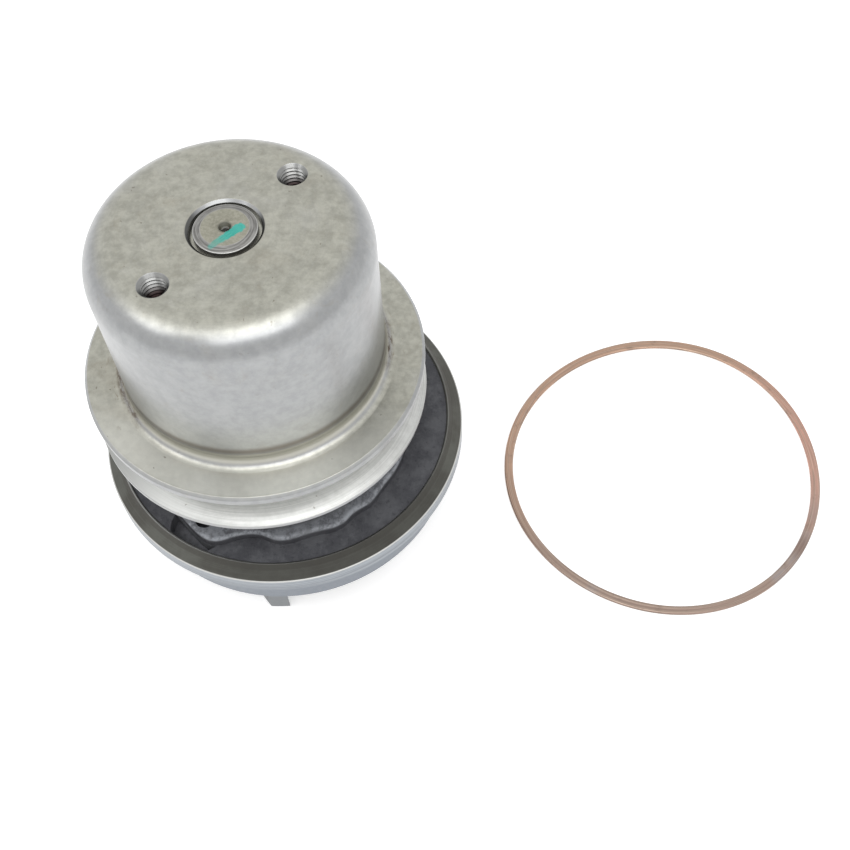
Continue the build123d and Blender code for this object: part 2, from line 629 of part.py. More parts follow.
# ---- shaft and slinger --------------------------------------------------------------------------------------------------
with BuildPart() as shaft:
    turn(
        [
            (0, SHAFT_BOTTOM, 0),
            (SHAFT_IMPELLER_R - EDGE_BREAK, SHAFT_BOTTOM, 0),
            (SHAFT_IMPELLER_R, SHAFT_BOTTOM + EDGE_BREAK, 0),
            (SHAFT_IMPELLER_R, SEAT_FLOOR, 0),
            (SHAFT_SEAL_R, SEAT_FLOOR, 0),
            (SHAFT_SEAL_R, GREASE_Z - 1.0, 1.0),
            (SHAFT_SHOULDER_R, GREASE_Z + FREE, 0.5),
            (SHAFT_SHOULDER_R, REAR_BEARING_Z, 0),
            (BEARING_BORE_R, REAR_BEARING_Z, 0),
            (BEARING_BORE_R, FRONT_BEARING_TOP, 0),
            (SHAFT_PULLEY_R, FRONT_BEARING_TOP, 0),
            (SHAFT_PULLEY_R, SHAFT_TOP - SHAFT_END_DROP, SHAFT_END_ROUND),
            (SHAFT_PULLEY_R - SHAFT_END_BEVEL, SHAFT_TOP, 0),
            (0, SHAFT_TOP, 0),
        ]
    )
    # lathe centres in both ends
    cone_depth = (CENTRE_HOLE_R - CENTRE_DRILL_R) * math.tan(math.radians(CENTRE_ANGLE))
    tip_depth = CENTRE_DRILL_DEPTH + CENTRE_DRILL_R / math.tan(math.radians(CENTRE_ANGLE))
    for end, inwards in ((SHAFT_TOP, -1), (SHAFT_BOTTOM, 1)):
        turn(
            [
                (0, end, 0),
                (CENTRE_HOLE_R, end, 0),
                (CENTRE_DRILL_R, end + inwards * cone_depth, 0),
                (CENTRE_DRILL_R, end + inwards * CENTRE_DRILL_DEPTH, 0),
                (0, end + inwards * tip_depth, 0),
            ],
            mode=Mode.SUBTRACT,
        )
save(shaft, "shaft")

with BuildPart() as slinger:
    slinger_hub_r = SHAFT_SEAL_R + SLINGER_HUB
    turn(
        [
            (SHAFT_SEAL_R, SLINGER_Z - 2.0, 0),
            (slinger_hub_r, SLINGER_Z - 2.0, 0.6),
            (slinger_hub_r, SLINGER_Z, 0.6),
            (SLINGER_R, SLINGER_Z + SLINGER_T / 2, 0),
            (SLINGER_R, SLINGER_Z + SLINGER_T, 0.5),
            (SHAFT_SEAL_R, SLINGER_Z + SLINGER_T, 0),
        ]
    )
save(slinger, "slinger")

# ---- pulley ----------------------------------------------------------------------------------------------------------------
belt_drop = GROOVE_DEPTH * math.tan(math.radians(GROOVE_HALF_ANGLE))
belt_root_r = PULLEY_R - GROOVE_DEPTH
belt_top = PULLEY_TOP - UPPER_LAND
belt_bottom = PULLEY_BOTTOM + LOWER_LAND
web_bottom = CUP_TOP - WEB_T
sink_floor = CUP_TOP - PULLER_SINK
relief_r = SHAFT_PULLEY_R + BORE_RELIEF

with BuildPart() as drive_pulley:
    turn(
        [
            (SHAFT_PULLEY_R, HUB_BOTTOM, 0),
            (SHAFT_PULLEY_R, CUP_TOP - BORE_RELIEF_DEPTH, 0),
            (relief_r, CUP_TOP - BORE_RELIEF_DEPTH, 0),
            (relief_r, CUP_TOP - BORE_CHAMFER, 0),
            (relief_r + BORE_CHAMFER, CUP_TOP, 0.2),
            (CUP_R, CUP_TOP, CUP_CORNER),
            (CUP_R, PULLEY_TOP, CUP_ROOT),
            (PULLEY_R - RIM_CHAMFER, PULLEY_TOP, 0.3),
            (PULLEY_R, PULLEY_TOP - RIM_CHAMFER, 0.3),
            (PULLEY_R, belt_top, 0.5),
            (belt_root_r, belt_top - belt_drop, 1.2),
            (belt_root_r, belt_bottom + belt_drop, 1.2),
            (PULLEY_R, belt_bottom, 0.5),
            (PULLEY_R, PULLEY_BOTTOM + EDGE_BREAK, 0),
            (PULLEY_R - EDGE_BREAK, PULLEY_BOTTOM, 0),
            (CUP_BORE_R + CUP_MOUTH, PULLEY_BOTTOM, 0),
            (CUP_BORE_R, PULLEY_BOTTOM + CUP_MOUTH, 0),
            (CUP_BORE_R, web_bottom, 7.0),
            (HUB_R, web_bottom, 4.0),
            (HUB_R, HUB_BOTTOM, 1.0),
        ]
    )
    # two tapped puller holes through the web, countersunk, with ring threads
    flank = (THREAD_PITCH - THREAD_CREST) / 2
    thread_count = int((WEB_T - PULLER_SINK) / THREAD_PITCH)
    for angle in (PULLER_ANGLE, PULLER_ANGLE + 180):
        hole_centre = polar(SHAFT_AXIS, PULLER_PCD / 2, angle)
        turn(
            [
                (0, web_bottom - OVERCUT, 0),
                (THREAD_MINOR_R, web_bottom - OVERCUT, 0),
                (THREAD_MINOR_R, sink_floor, 0),
                (THREAD_MINOR_R + PULLER_SINK, CUP_TOP, 0),
                (0, CUP_TOP, 0),
            ],
            hole_centre,
            Mode.SUBTRACT,
        )
        for index in range(thread_count):
            root_z = sink_floor - (index + 0.45) * THREAD_PITCH
            turn(
                [
                    (THREAD_MINOR_R - THREAD_CREST, root_z - flank, 0),
                    (THREAD_MINOR_R, root_z - flank, 0),
                    (THREAD_MAJOR_R, root_z, 0),
                    (THREAD_MINOR_R, root_z + flank, 0),
                    (THREAD_MINOR_R - THREAD_CREST, root_z + flank, 0),
                ],
                hole_centre,
                Mode.SUBTRACT,
            )
save(drive_pulley, "drive_pulley")

# ---- impeller ---------------------------------------------------------------------------------------------------------------
vane_pitch = 360 / VANE_COUNT
vane_root_r = IMPELLER_HUB_R + VANE_ROOT_OUT
vane_top = SHROUD_BOTTOM + EDGE_BREAK

with BuildPart() as impeller:
    turn(
        [
            (SHAFT_IMPELLER_R, HUB_TAIL_Z, 0),
            (HUB_TAIL_R, HUB_TAIL_Z, 1.0),
            (IMPELLER_HUB_R, SHROUD_BOTTOM, 4.0),
            (IMPELLER_R, SHROUD_BOTTOM, 1.0),
            (IMPELLER_R, SHROUD_TOP, 1.0),
            (IMPELLER_HUB_R, SHROUD_TOP, 2.0),
            (IMPELLER_HUB_R, IMPELLER_HUB_TOP, 0.8),
            (SEAT_CUP_R, IMPELLER_HUB_TOP, 0),
            (SEAT_CUP_R, SEAT_FLOOR, 0),
            (SHAFT_IMPELLER_R, SEAT_FLOOR, 0),
        ]
    )
    # swept vanes: each follows an arc through three points of a spiral, trimmed at the rim
    for index in range(VANE_COUNT):
        tip_angle = VANE_TIP_ANGLE + index * vane_pitch
        spine = []
        for distance in (vane_root_r, (vane_root_r + IMPELLER_R) / 2, IMPELLER_R + VANE_T):
            spiral = math.tan(math.radians(VANE_LEAN)) * math.log(IMPELLER_R / distance)
            spine.append(polar(SHAFT_AXIS, distance, tip_angle - math.degrees(spiral)))
        with BuildSketch(Plane.XY.offset(vane_top)):
            with BuildLine():
                ThreePointArc(*spine)
                offset(amount=VANE_T / 2, side=Side.BOTH, mode=Mode.REPLACE)
            make_face()
            with Locations(SHAFT_AXIS):
                Circle(IMPELLER_R, mode=Mode.INTERSECT)
        extrude(amount=VANE_TIP_Z - vane_top)
    chamfer(impeller.edges().group_by(Axis.Z)[0], length=VANE_CHAMFER)
    # tapped jacking holes in the hub's tail, and balance holes through the shroud
    jack_hole_out = (SHAFT_IMPELLER_R + HUB_TAIL_R) / 2
    for angle in (0, 180):
        tube(
            0,
            JACK_HOLE_R,
            HUB_TAIL_Z - OVERCUT,
            HUB_TAIL_Z + JACK_HOLE_DEPTH,
            polar(SHAFT_AXIS, jack_hole_out, angle),
            mode=Mode.SUBTRACT,
        )
    for index in range(VANE_COUNT):
        tube(
            0,
            BALANCE_HOLE_R,
            SHROUD_BOTTOM - OVERCUT,
            SHROUD_TOP + OVERCUT,
            polar(
                SHAFT_AXIS,
                IMPELLER_HUB_R + BALANCE_HOLE_OUT,
                VANE_TIP_ANGLE + BALANCE_HOLE_TURN + (index + 0.5) * vane_pitch,
            ),
            mode=Mode.SUBTRACT,
        )
save(impeller, "impeller")

# ---- loose seal ring, lying on the surface that the pump stands on ----------------------------------------------------------
with BuildPart() as flange_seal_ring:
    ring_bore_r = SPIGOT_R + RING_CLEAR
    tube(
        ring_bore_r,
        ring_bore_r + RING_WIDTH,
        VANE_TIP_Z,
        VANE_TIP_Z + RING_T,
        (RING_X, RING_Y),
        RING_ROUND,
    )
save(flange_seal_ring, "flange_seal_ring")
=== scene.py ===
"""Looks of the coolant pump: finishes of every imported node, the paint dab on the shaft end,
the tarnished seal ring, a white floor, soft lamps and the camera. Metres, in the row frame."""

import json
import math

import bmesh
import bpy
from mathutils import Matrix, Vector


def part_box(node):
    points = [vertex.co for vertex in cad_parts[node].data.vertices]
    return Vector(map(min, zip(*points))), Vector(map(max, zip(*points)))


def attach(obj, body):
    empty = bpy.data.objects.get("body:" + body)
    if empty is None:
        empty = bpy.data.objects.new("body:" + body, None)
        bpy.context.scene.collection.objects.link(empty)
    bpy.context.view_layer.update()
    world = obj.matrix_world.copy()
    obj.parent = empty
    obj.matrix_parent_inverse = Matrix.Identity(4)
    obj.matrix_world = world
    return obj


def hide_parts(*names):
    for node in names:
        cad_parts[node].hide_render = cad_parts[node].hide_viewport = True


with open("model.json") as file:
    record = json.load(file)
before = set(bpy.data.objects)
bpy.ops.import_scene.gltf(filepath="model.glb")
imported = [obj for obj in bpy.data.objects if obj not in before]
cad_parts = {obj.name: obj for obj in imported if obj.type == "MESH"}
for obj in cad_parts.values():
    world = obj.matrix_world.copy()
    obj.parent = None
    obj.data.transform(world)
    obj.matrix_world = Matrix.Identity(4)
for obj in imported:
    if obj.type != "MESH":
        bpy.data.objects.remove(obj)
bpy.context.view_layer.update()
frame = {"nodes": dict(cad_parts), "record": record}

MM = 0.001
WHITE = (1, 1, 1, 1)


def middle(node):
    """Centre of a node's box."""
    low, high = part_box(node)
    return (low + high) / 2


SHAFT = middle("shaft")                 # the shaft axis, in plan
HOUSING = middle("pump_housing")        # the spigot axis, in plan
FLOOR_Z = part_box("impeller")[0].z
FACE_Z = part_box("drive_pulley")[1].z    # flat face of the pulley


# ---- node helpers ------------------------------------------------------------------------
class Shader:
    """Short ways to add and join nodes in one node tree."""

    def __init__(self, tree):
        self.tree = tree

    def add(self, kind, **settings):
        node = self.tree.nodes.new(kind)
        for key, value in settings.items():
            setattr(node, key, value)
        return node

    def join(self, source, target):
        """Link an output to an input, or set the input to a value."""
        if hasattr(source, "bl_idname"):
            self.tree.links.new(source, target)
        else:
            target.default_value = source

    def math(self, operation, first, second=0.0, clamp=False):
        node = self.add("ShaderNodeMath", operation=operation, use_clamp=clamp)
        self.join(first, node.inputs[0])
        self.join(second, node.inputs[1])
        return node.outputs[0]

    def plus(self, first, second):
        return self.math("ADD", first, second)

    def minus(self, first, second):
        return self.math("SUBTRACT", first, second)

    def both(self, first, second):
        """Product: a mask within a mask, or a mask or value scaled by a number."""
        return self.math("MULTIPLY", first, second)

    def either(self, first, second):
        return self.math("MAXIMUM", first, second)

    def length(self, first, second):
        """Length of a vector in the plane."""
        return self.math("SQRT", self.plus(self.both(first, first), self.both(second, second)))

    def step(self, value, low, high, start=0.0, end=1.0):
        """Smooth change from start to end as value goes from low to high."""
        node = self.add("ShaderNodeMapRange", interpolation_type="SMOOTHSTEP")
        self.join(value, node.inputs["Value"])
        limits = {"From Min": low, "From Max": high, "To Min": start, "To Max": end}
        for name, number in limits.items():
            node.inputs[name].default_value = number
        return node.outputs["Result"]

    def within(self, value, low, high, soft):
        """Mask that is 1 while value lies between low and high."""
        rise = self.step(value, low - soft, low + soft)
        fall = self.step(value, high - soft, high + soft, 1.0, 0.0)
        return self.both(rise, fall)

    def split(self, vector):
        node = self.add("ShaderNodeSeparateXYZ")
        self.join(vector, node.inputs[0])
        return node.outputs

    def combine(self, x, y, z):
        node = self.add("ShaderNodeCombineXYZ")
        for source, target in zip((x, y, z), node.inputs):
            self.join(source, target)
        return node.outputs[0]

    def noise(self, vector, scale, detail=4.0, roughness=0.55, distortion=0.0):
        node = self.add("ShaderNodeTexNoise")
        self.join(vector, node.inputs["Vector"])
        node.inputs["Scale"].default_value = scale
        node.inputs["Detail"].default_value = detail
        node.inputs["Roughness"].default_value = roughness
        node.inputs["Distortion"].default_value = distortion
        return node.outputs["Fac"]

    def mix(self, amount, first, second):
        """First colour where amount is 0, second where it is 1."""
        node = self.add("ShaderNodeMix", data_type="RGBA")
        self.join(amount, node.inputs[0])
        for source, target in ((first, node.inputs[6]), (second, node.inputs[7])):
            self.join((*source, 1.0) if isinstance(source, tuple) else source, target)
        return node.outputs[2]


class Surface(Shader):
    """A material with one Principled shader."""

    def __init__(self, name):
        self.material = bpy.data.materials.new(name)
        self.material.use_nodes = True
        super().__init__(self.material.node_tree)
        self.bsdf = self.tree.nodes["Principled BSDF"]
        coordinates = self.add("ShaderNodeTexCoord")
        self.place = coordinates.outputs["Object"]
        self.facing = coordinates.outputs["Normal"]

    def polar(self, centre):
        """Radius, angle in radians, and height about an upright axis through centre."""
        x, y, z = self.split(self.place)
        dx = self.minus(x, centre[0])
        dy = self.minus(y, centre[1])
        return self.length(dx, dy), self.math("ARCTAN2", dy, dx), z

    def turned(self, centre):
        """Polar place and the tool marks round an axis, as broad and fine rings."""
        radius, angle, height = self.polar(centre)
        across = self.combine(radius, height, self.both(angle, 0.0006))
        broad = self.noise(across, 2200, 2.0)
        fine = self.noise(across, 6500, 1.0)
        return radius, angle, height, broad, fine

    def patch(self, x, y, place, reach, soft):
        """Round mask about one point in plan."""
        away = self.length(self.minus(x, place[0]), self.minus(y, place[1]))
        return self.step(away, reach - soft, reach + soft, 1.0, 0.0)

    def bump(self, height, strength, distance, under=None):
        node = self.add("ShaderNodeBump")
        node.inputs["Strength"].default_value = strength
        node.inputs["Distance"].default_value = distance
        self.join(height, node.inputs["Height"])
        if under is not None:
            self.join(under, node.inputs["Normal"])
        return node.outputs["Normal"]

    def finish(self, color, roughness, metallic, normal=None):
        color = (*color, 1.0) if isinstance(color, tuple) else color
        self.join(color, self.bsdf.inputs["Base Color"])
        self.join(roughness, self.bsdf.inputs["Roughness"])
        self.join(metallic, self.bsdf.inputs["Metallic"])
        if normal is not None:
            self.join(normal, self.bsdf.inputs["Normal"])
        return self.material


def dress(material, *nodes):
    """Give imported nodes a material."""
    for name in nodes:
        mesh = frame["nodes"][name].data
        mesh.materials.clear()
        mesh.materials.append(material)


# ---- pulley ------------------------------------------------------------------------------
# Depths are below the pulley's flat face. A band is its low end, high end and soft edge.
GROOVE_DEPTH = (0.0806, 0.0995, 0.0003)
GROOVE_WALL_R = (0.0575, 0.0590)
RIM_FACE_DEPTH = (0.0762, 0.0778, 0.0004)
RIM_FACE_R = (0.0580, 0.0700, 0.0015)
FILLET_DEPTH = (0.0702, 0.0752, 0.0006)
FILLET_R = (0.0540, 0.0585, 0.0006)
ROOT_LINE_DEPTH = (0.0662, 0.0697, 0.0018)
ROOT_LINE_R = (0.0562, 0.0554)
ROOT_R = (0.0545, 0.0575, 0.0012)
ROOT_DEPTH = (0.068, 0.074)
BELOW_ROOT_R = (0.0565, 0.0645, 0.002)
BORE_RIM_R = (0.01305, 0.0145, 0.0002)
PULLER_CIRCLE_R = 0.034925
PULLER_AIM = math.radians(-128.0)
PULLER_MASK_R = 0.0060
RUST_LEFT = ((-0.0565, -0.028), 0.018, 0.010)
RUST_RIGHT = ((0.0505, 0.001), 0.013, 0.008)


def pulley_steel():
    """Satin turned steel, olive on its flat faces, cooler and painted darker as shade round its
    sides, with handling stains and rust in the root of the cup, painted highlights on the rim
    face and the fillet, painted light on the groove walls, and painted shade at the cup's root,
    round the bore and in the puller holes."""
    s = Surface("pulley_steel")
    radius, angle, height, marks, fine = s.turned(SHAFT)
    x, y, _ = s.split(s.place)
    flat = s.step(s.split(s.facing)[2], 0.74, 1.0)
    clouds = s.noise(s.place, 34, 5.0, 0.62, 0.4)
    mottle = s.noise(s.place, 240, 5.0, 0.7)
    grain = s.noise(s.place, 1500, 2.0, 0.7)

    def at_depth(shallow, deep, soft):
        return s.within(height, FACE_Z - deep, FACE_Z - shallow, soft)

    def around(stretch, scale, detail, distortion):
        """Noise drawn out along the circumference."""
        place = s.combine(s.both(angle, stretch), radius, height)
        return s.noise(place, scale, detail, 0.7, distortion)

    tone = s.step(mottle, 0.3, 0.7)
    # painted shade: the sides are cooler and darker than the lighter, olive flat faces
    side = s.mix(tone, (0.322, 0.329, 0.336), (0.385, 0.391, 0.395))
    face = s.mix(tone, (0.335, 0.332, 0.288), (0.475, 0.472, 0.412))
    base = s.mix(flat, side, face)

    # stains and pale clouds, fainter on the sides, then freckles, smears and turned rings
    cover = s.plus(s.both(flat, 0.7), 0.3)
    stain = s.both(s.step(clouds, 0.53, 0.72), cover)
    base = s.mix(s.both(stain, 0.30), base, (0.32, 0.285, 0.22))
    pale = s.both(s.step(clouds, 0.46, 0.30), cover)
    base = s.mix(s.both(pale, 0.26), base, (0.55, 0.55, 0.525))
    freckle = s.step(s.noise(s.place, 130, 6.0, 0.78, 0.6), 0.56, 0.68)
    base = s.mix(s.both(freckle, 0.22), base, (0.29, 0.255, 0.195))
    wiped = s.combine(s.both(radius, 0.35), angle, 0.0)
    smear = s.step(s.noise(wiped, 9.0, 6.0, 0.72, 0.3), 0.52, 0.68)
    base = s.mix(s.both(s.both(smear, flat), 0.12), base, (0.28, 0.26, 0.21))
    base = s.mix(s.both(s.step(marks, 0.4, 0.62), 0.16), base, (0.33, 0.33, 0.31))

    # groove walls polished by the belt, with painted light: lighter to the right, where they
    # fall into shade, and darker to the left
    groove = s.both(at_depth(*GROOVE_DEPTH), s.step(radius, *GROOVE_WALL_R))
    belt_wear_and_painted_light = s.mix(s.step(x, -0.050, -0.005), (0.38, 0.385, 0.375), (0.60, 0.605, 0.59))
    belt_wear_and_painted_light = s.mix(s.both(s.step(mottle, 0.36, 0.70), 0.4), belt_wear_and_painted_light, (0.40, 0.405, 0.39))
    belt_wear_and_painted_light = s.mix(s.both(s.step(marks, 0.42, 0.60), 0.35), belt_wear_and_painted_light, (0.33, 0.335, 0.325))
    base = s.mix(groove, base, belt_wear_and_painted_light)

    # painted reflection: the face of the rim made lighter at the front
    painted_front_reflection = s.both(at_depth(*RIM_FACE_DEPTH), s.within(radius, *RIM_FACE_R))
    painted_front_reflection = s.both(painted_front_reflection, s.step(y, -0.025, -0.055))
    base = s.mix(s.both(painted_front_reflection, 0.55), base, (0.68, 0.68, 0.63))

    # painted highlight on the fillet at the foot of the cup, and painted shade, a dark ring,
    # where the wall runs into it
    fillet = s.both(at_depth(*FILLET_DEPTH), s.within(radius, *FILLET_R))
    base = s.mix(s.both(fillet, 0.9), base, (0.56, 0.55, 0.49))
    painted_root_shade = s.both(at_depth(*ROOT_LINE_DEPTH), s.step(radius, *ROOT_LINE_R))
    base = s.mix(s.both(painted_root_shade, 0.80), base, (0.14, 0.12, 0.10))

    # painted shade: the rim of the bore made dark on the near side
    near = s.step(y, SHAFT.y + 0.0098, SHAFT.y + 0.0045)
    painted_bore_shade = s.both(s.within(radius, *BORE_RIM_R), near)
    base = s.mix(s.both(painted_bore_shade, 0.8), base, (0.055, 0.055, 0.05))

    # rust and dirt where the cup meets the rim, heavier in two places
    low = s.step(height, FACE_Z - ROOT_DEPTH[0], FACE_Z - ROOT_DEPTH[1])
    heavy = s.either(s.patch(x, y, *RUST_LEFT), s.patch(x, y, *RUST_RIGHT))
    root = s.both(s.both(s.within(radius, *ROOT_R), low), s.either(heavy, 0.05))
    blotch = s.step(around(0.022, 520, 5.0, 0.25), 0.44, 0.66)
    rust = s.both(root, s.plus(s.both(blotch, 0.75), 0.20))
    base = s.mix(rust, base, (0.115, 0.085, 0.058))
    drip = s.step(around(0.02, 430, 4.0, 0.3), 0.58, 0.70)
    drip = s.both(drip, s.both(low, s.within(radius, *BELOW_ROOT_R)))
    base = s.mix(s.both(drip, s.both(heavy, 0.6)), base, (0.17, 0.125, 0.085))

    # specks, stronger on the flat faces
    speck = s.step(s.noise(s.place, 330, 1.5, 0.9), 0.725, 0.755)
    shown = s.plus(s.both(flat, 0.35), 0.15)
    base = s.mix(s.both(speck, shown), base, (0.12, 0.10, 0.075))

    # puller holes: a darker band just under the face, and painted shade, near black, deep inside
    for swing in (0, math.pi):
        aim = PULLER_AIM + swing
        hole = (
            SHAFT.x + PULLER_CIRCLE_R * math.cos(aim),
            SHAFT.y + PULLER_CIRCLE_R * math.sin(aim),
        )
        inside = s.patch(x, y, hole, PULLER_MASK_R, 0.0002)
        sink = s.step(height, FACE_Z - 0.00005, FACE_Z - 0.0002)
        base = s.mix(s.both(inside, s.both(sink, 0.6)), base, (0.22, 0.22, 0.21))
        deep = s.step(height, FACE_Z - 0.0035, FACE_Z - 0.0105)
        base = s.mix(s.both(inside, deep), base, (0.022, 0.014, 0.014))

    rough = s.plus(0.29, s.both(s.minus(grain, 0.5), 0.06))
    rough = s.plus(rough, s.both(rust, 0.35))
    rough = s.plus(rough, s.both(flat, 0.05))
    relief = s.plus(s.plus(marks, s.both(fine, 0.5)), s.both(grain, 0.8))
    normal = s.bump(relief, 0.08, 0.00002)
    normal = s.bump(s.plus(mottle, s.both(speck, -2.0)), 0.1, 0.00004, normal)
    return s.finish(base, rough, 1.0, normal)


# ---- shaft -------------------------------------------------------------------------------
END_DEPTH = (0.0012, 0.0006)      # the shaft's end is above these depths
DISC_R = (0.0088, 0.0091)
BEVEL_R = (0.0090, 0.0093)
LIP_R = (0.0114, 0.0118)
CENTRE_R = (0.0023, 0.0032)
SMUDGE = ((SHAFT.x - 0.0016, SHAFT.y + 0.0010), 0.0042, 0.0030)
DAB_START = Vector((-0.0078, -0.0148))
DAB_END = Vector((0.0013, -0.0056))
DAB_HALF = 0.00115                # half width where the brush left, and its growth
DAB_GROWTH = 0.0009


def shaft_steel():
    """Ground shaft with a warm, facing-cut end, a dull bevel and a dab of paint on it."""
    s = Surface("shaft_steel")
    radius, angle, height, marks, fine = s.turned(SHAFT)
    x, y, _ = s.split(s.place)
    mottle = s.noise(s.place, 420, 4.0, 0.65)
    base = s.mix(s.step(mottle, 0.3, 0.7), (0.36, 0.355, 0.345), (0.45, 0.445, 0.43))

    end = s.step(height, FACE_Z - END_DEPTH[0], FACE_Z - END_DEPTH[1])
    disc = s.both(end, s.step(radius, *DISC_R, 1.0, 0.0))
    tone = s.step(s.noise(s.place, 900, 3.0, 0.6), 0.35, 0.65)
    base = s.mix(disc, base, s.mix(tone, (0.31, 0.305, 0.25), (0.39, 0.38, 0.315)))
    bevel = s.both(end, s.step(radius, *BEVEL_R))
    arcs = s.noise(s.combine(s.both(radius, 3.0), s.both(angle, 0.002), 0.0), 620, 3.0, 0.6)
    dull = s.mix(s.step(arcs, 0.38, 0.62), (0.13, 0.127, 0.12), (0.31, 0.308, 0.295))
    base = s.mix(s.both(bevel, 0.85), base, dull)
    lip = s.both(end, s.step(radius, *LIP_R))
    base = s.mix(s.both(lip, 0.7), base, (0.6, 0.6, 0.58))
    smudge = s.both(s.patch(x, y, *SMUDGE), disc)
    smudge = s.both(smudge, s.step(s.noise(s.place, 480, 4.0, 0.7), 0.36, 0.62))
    base = s.mix(s.both(smudge, 0.55), base, (0.20, 0.19, 0.155))
    centre = s.both(end, s.step(radius, *CENTRE_R, 1.0, 0.0))
    base = s.mix(s.both(centre, 0.75), base, (0.14, 0.14, 0.12))

    # brushed dab of green paint: run goes from 0 at its thin end to 1, away is off its line
    along = DAB_END - DAB_START
    dx = s.minus(x, DAB_START.x)
    dy = s.minus(y, DAB_START.y)
    run = s.plus(s.both(dx, along.x), s.both(dy, along.y))
    run = s.math("DIVIDE", run, along.length_squared, clamp=True)
    off_x = s.minus(dx, s.both(run, along.x))
    off_y = s.minus(dy, s.both(run, along.y))
    away = s.length(off_x, off_y)
    ragged = s.both(s.minus(s.noise(s.place, 700, 3.0, 0.6), 0.5), 0.0018)
    half = s.plus(s.both(run, DAB_GROWTH), DAB_HALF)
    over = s.minus(s.plus(away, ragged), half)
    paint = s.both(end, s.step(over, -0.00035, 0.00030, 1.0, 0.0))
    thick = s.both(paint, s.step(run, 0.0, 0.55, 0.55, 1.0))
    strokes = s.combine(s.both(run, 0.004), s.both(away, 3.0), 0.0)
    hairs = s.noise(strokes, 900, 2.0, 0.6)
    green = s.mix(s.step(hairs, 0.35, 0.65), (0.022, 0.30, 0.245), (0.050, 0.375, 0.315))
    base = s.mix(thick, base, green)

    metal = s.minus(1.0, thick)
    rough = s.plus(0.36, s.both(mottle, 0.1))
    normal = s.bump(s.plus(marks, s.both(fine, 0.5)), 0.25, 0.00002)
    normal = s.bump(s.both(thick, s.plus(hairs, 1.0)), 0.4, 0.00008, normal)
    return s.finish(base, rough, metal, normal)


# ---- housing -----------------------------------------------------------------------------
# Heights are in the row frame, whose zero is the seating face. Foot radii are about the shaft.
FOOT_EDGE_Z = (0.0166, 0.0182, 0.0006)
FOOT_EDGE_R = (0.0555, 0.0575)
FOOT_SIDE_Z = (0.0122, 0.0160, 0.0008)
FOOT_SIDE_R = (0.0560, 0.0580)
RIM_R = (0.0751, 0.0753)
RIM_Z = (0.0070, 0.0076)
RIM_BAND_R = (0.0764, 0.0781, 0.0003)
RIM_CREST_R = (0.0756, 0.0764, 0.00015)
RIM_LIP_R = (0.0818, 0.0822)
FLANGE_EDGE_R = (0.0815, 0.0819)
FLANGE_EDGE_Z = (0.0074, 0.0080)
FLANGE_STEP_Z = (0.0030, 0.0034, 0.0002)
SPIGOT_R = (0.0740, 0.0745)
SEAT_Z = (0.0006, 0.0001)
SPIGOT_Z = (-0.0004, -0.0009)
CORNER_Z = (-0.0020, 0.0003, 0.0004)
CORNER_R = (0.0755, 0.0775, 0.0003)


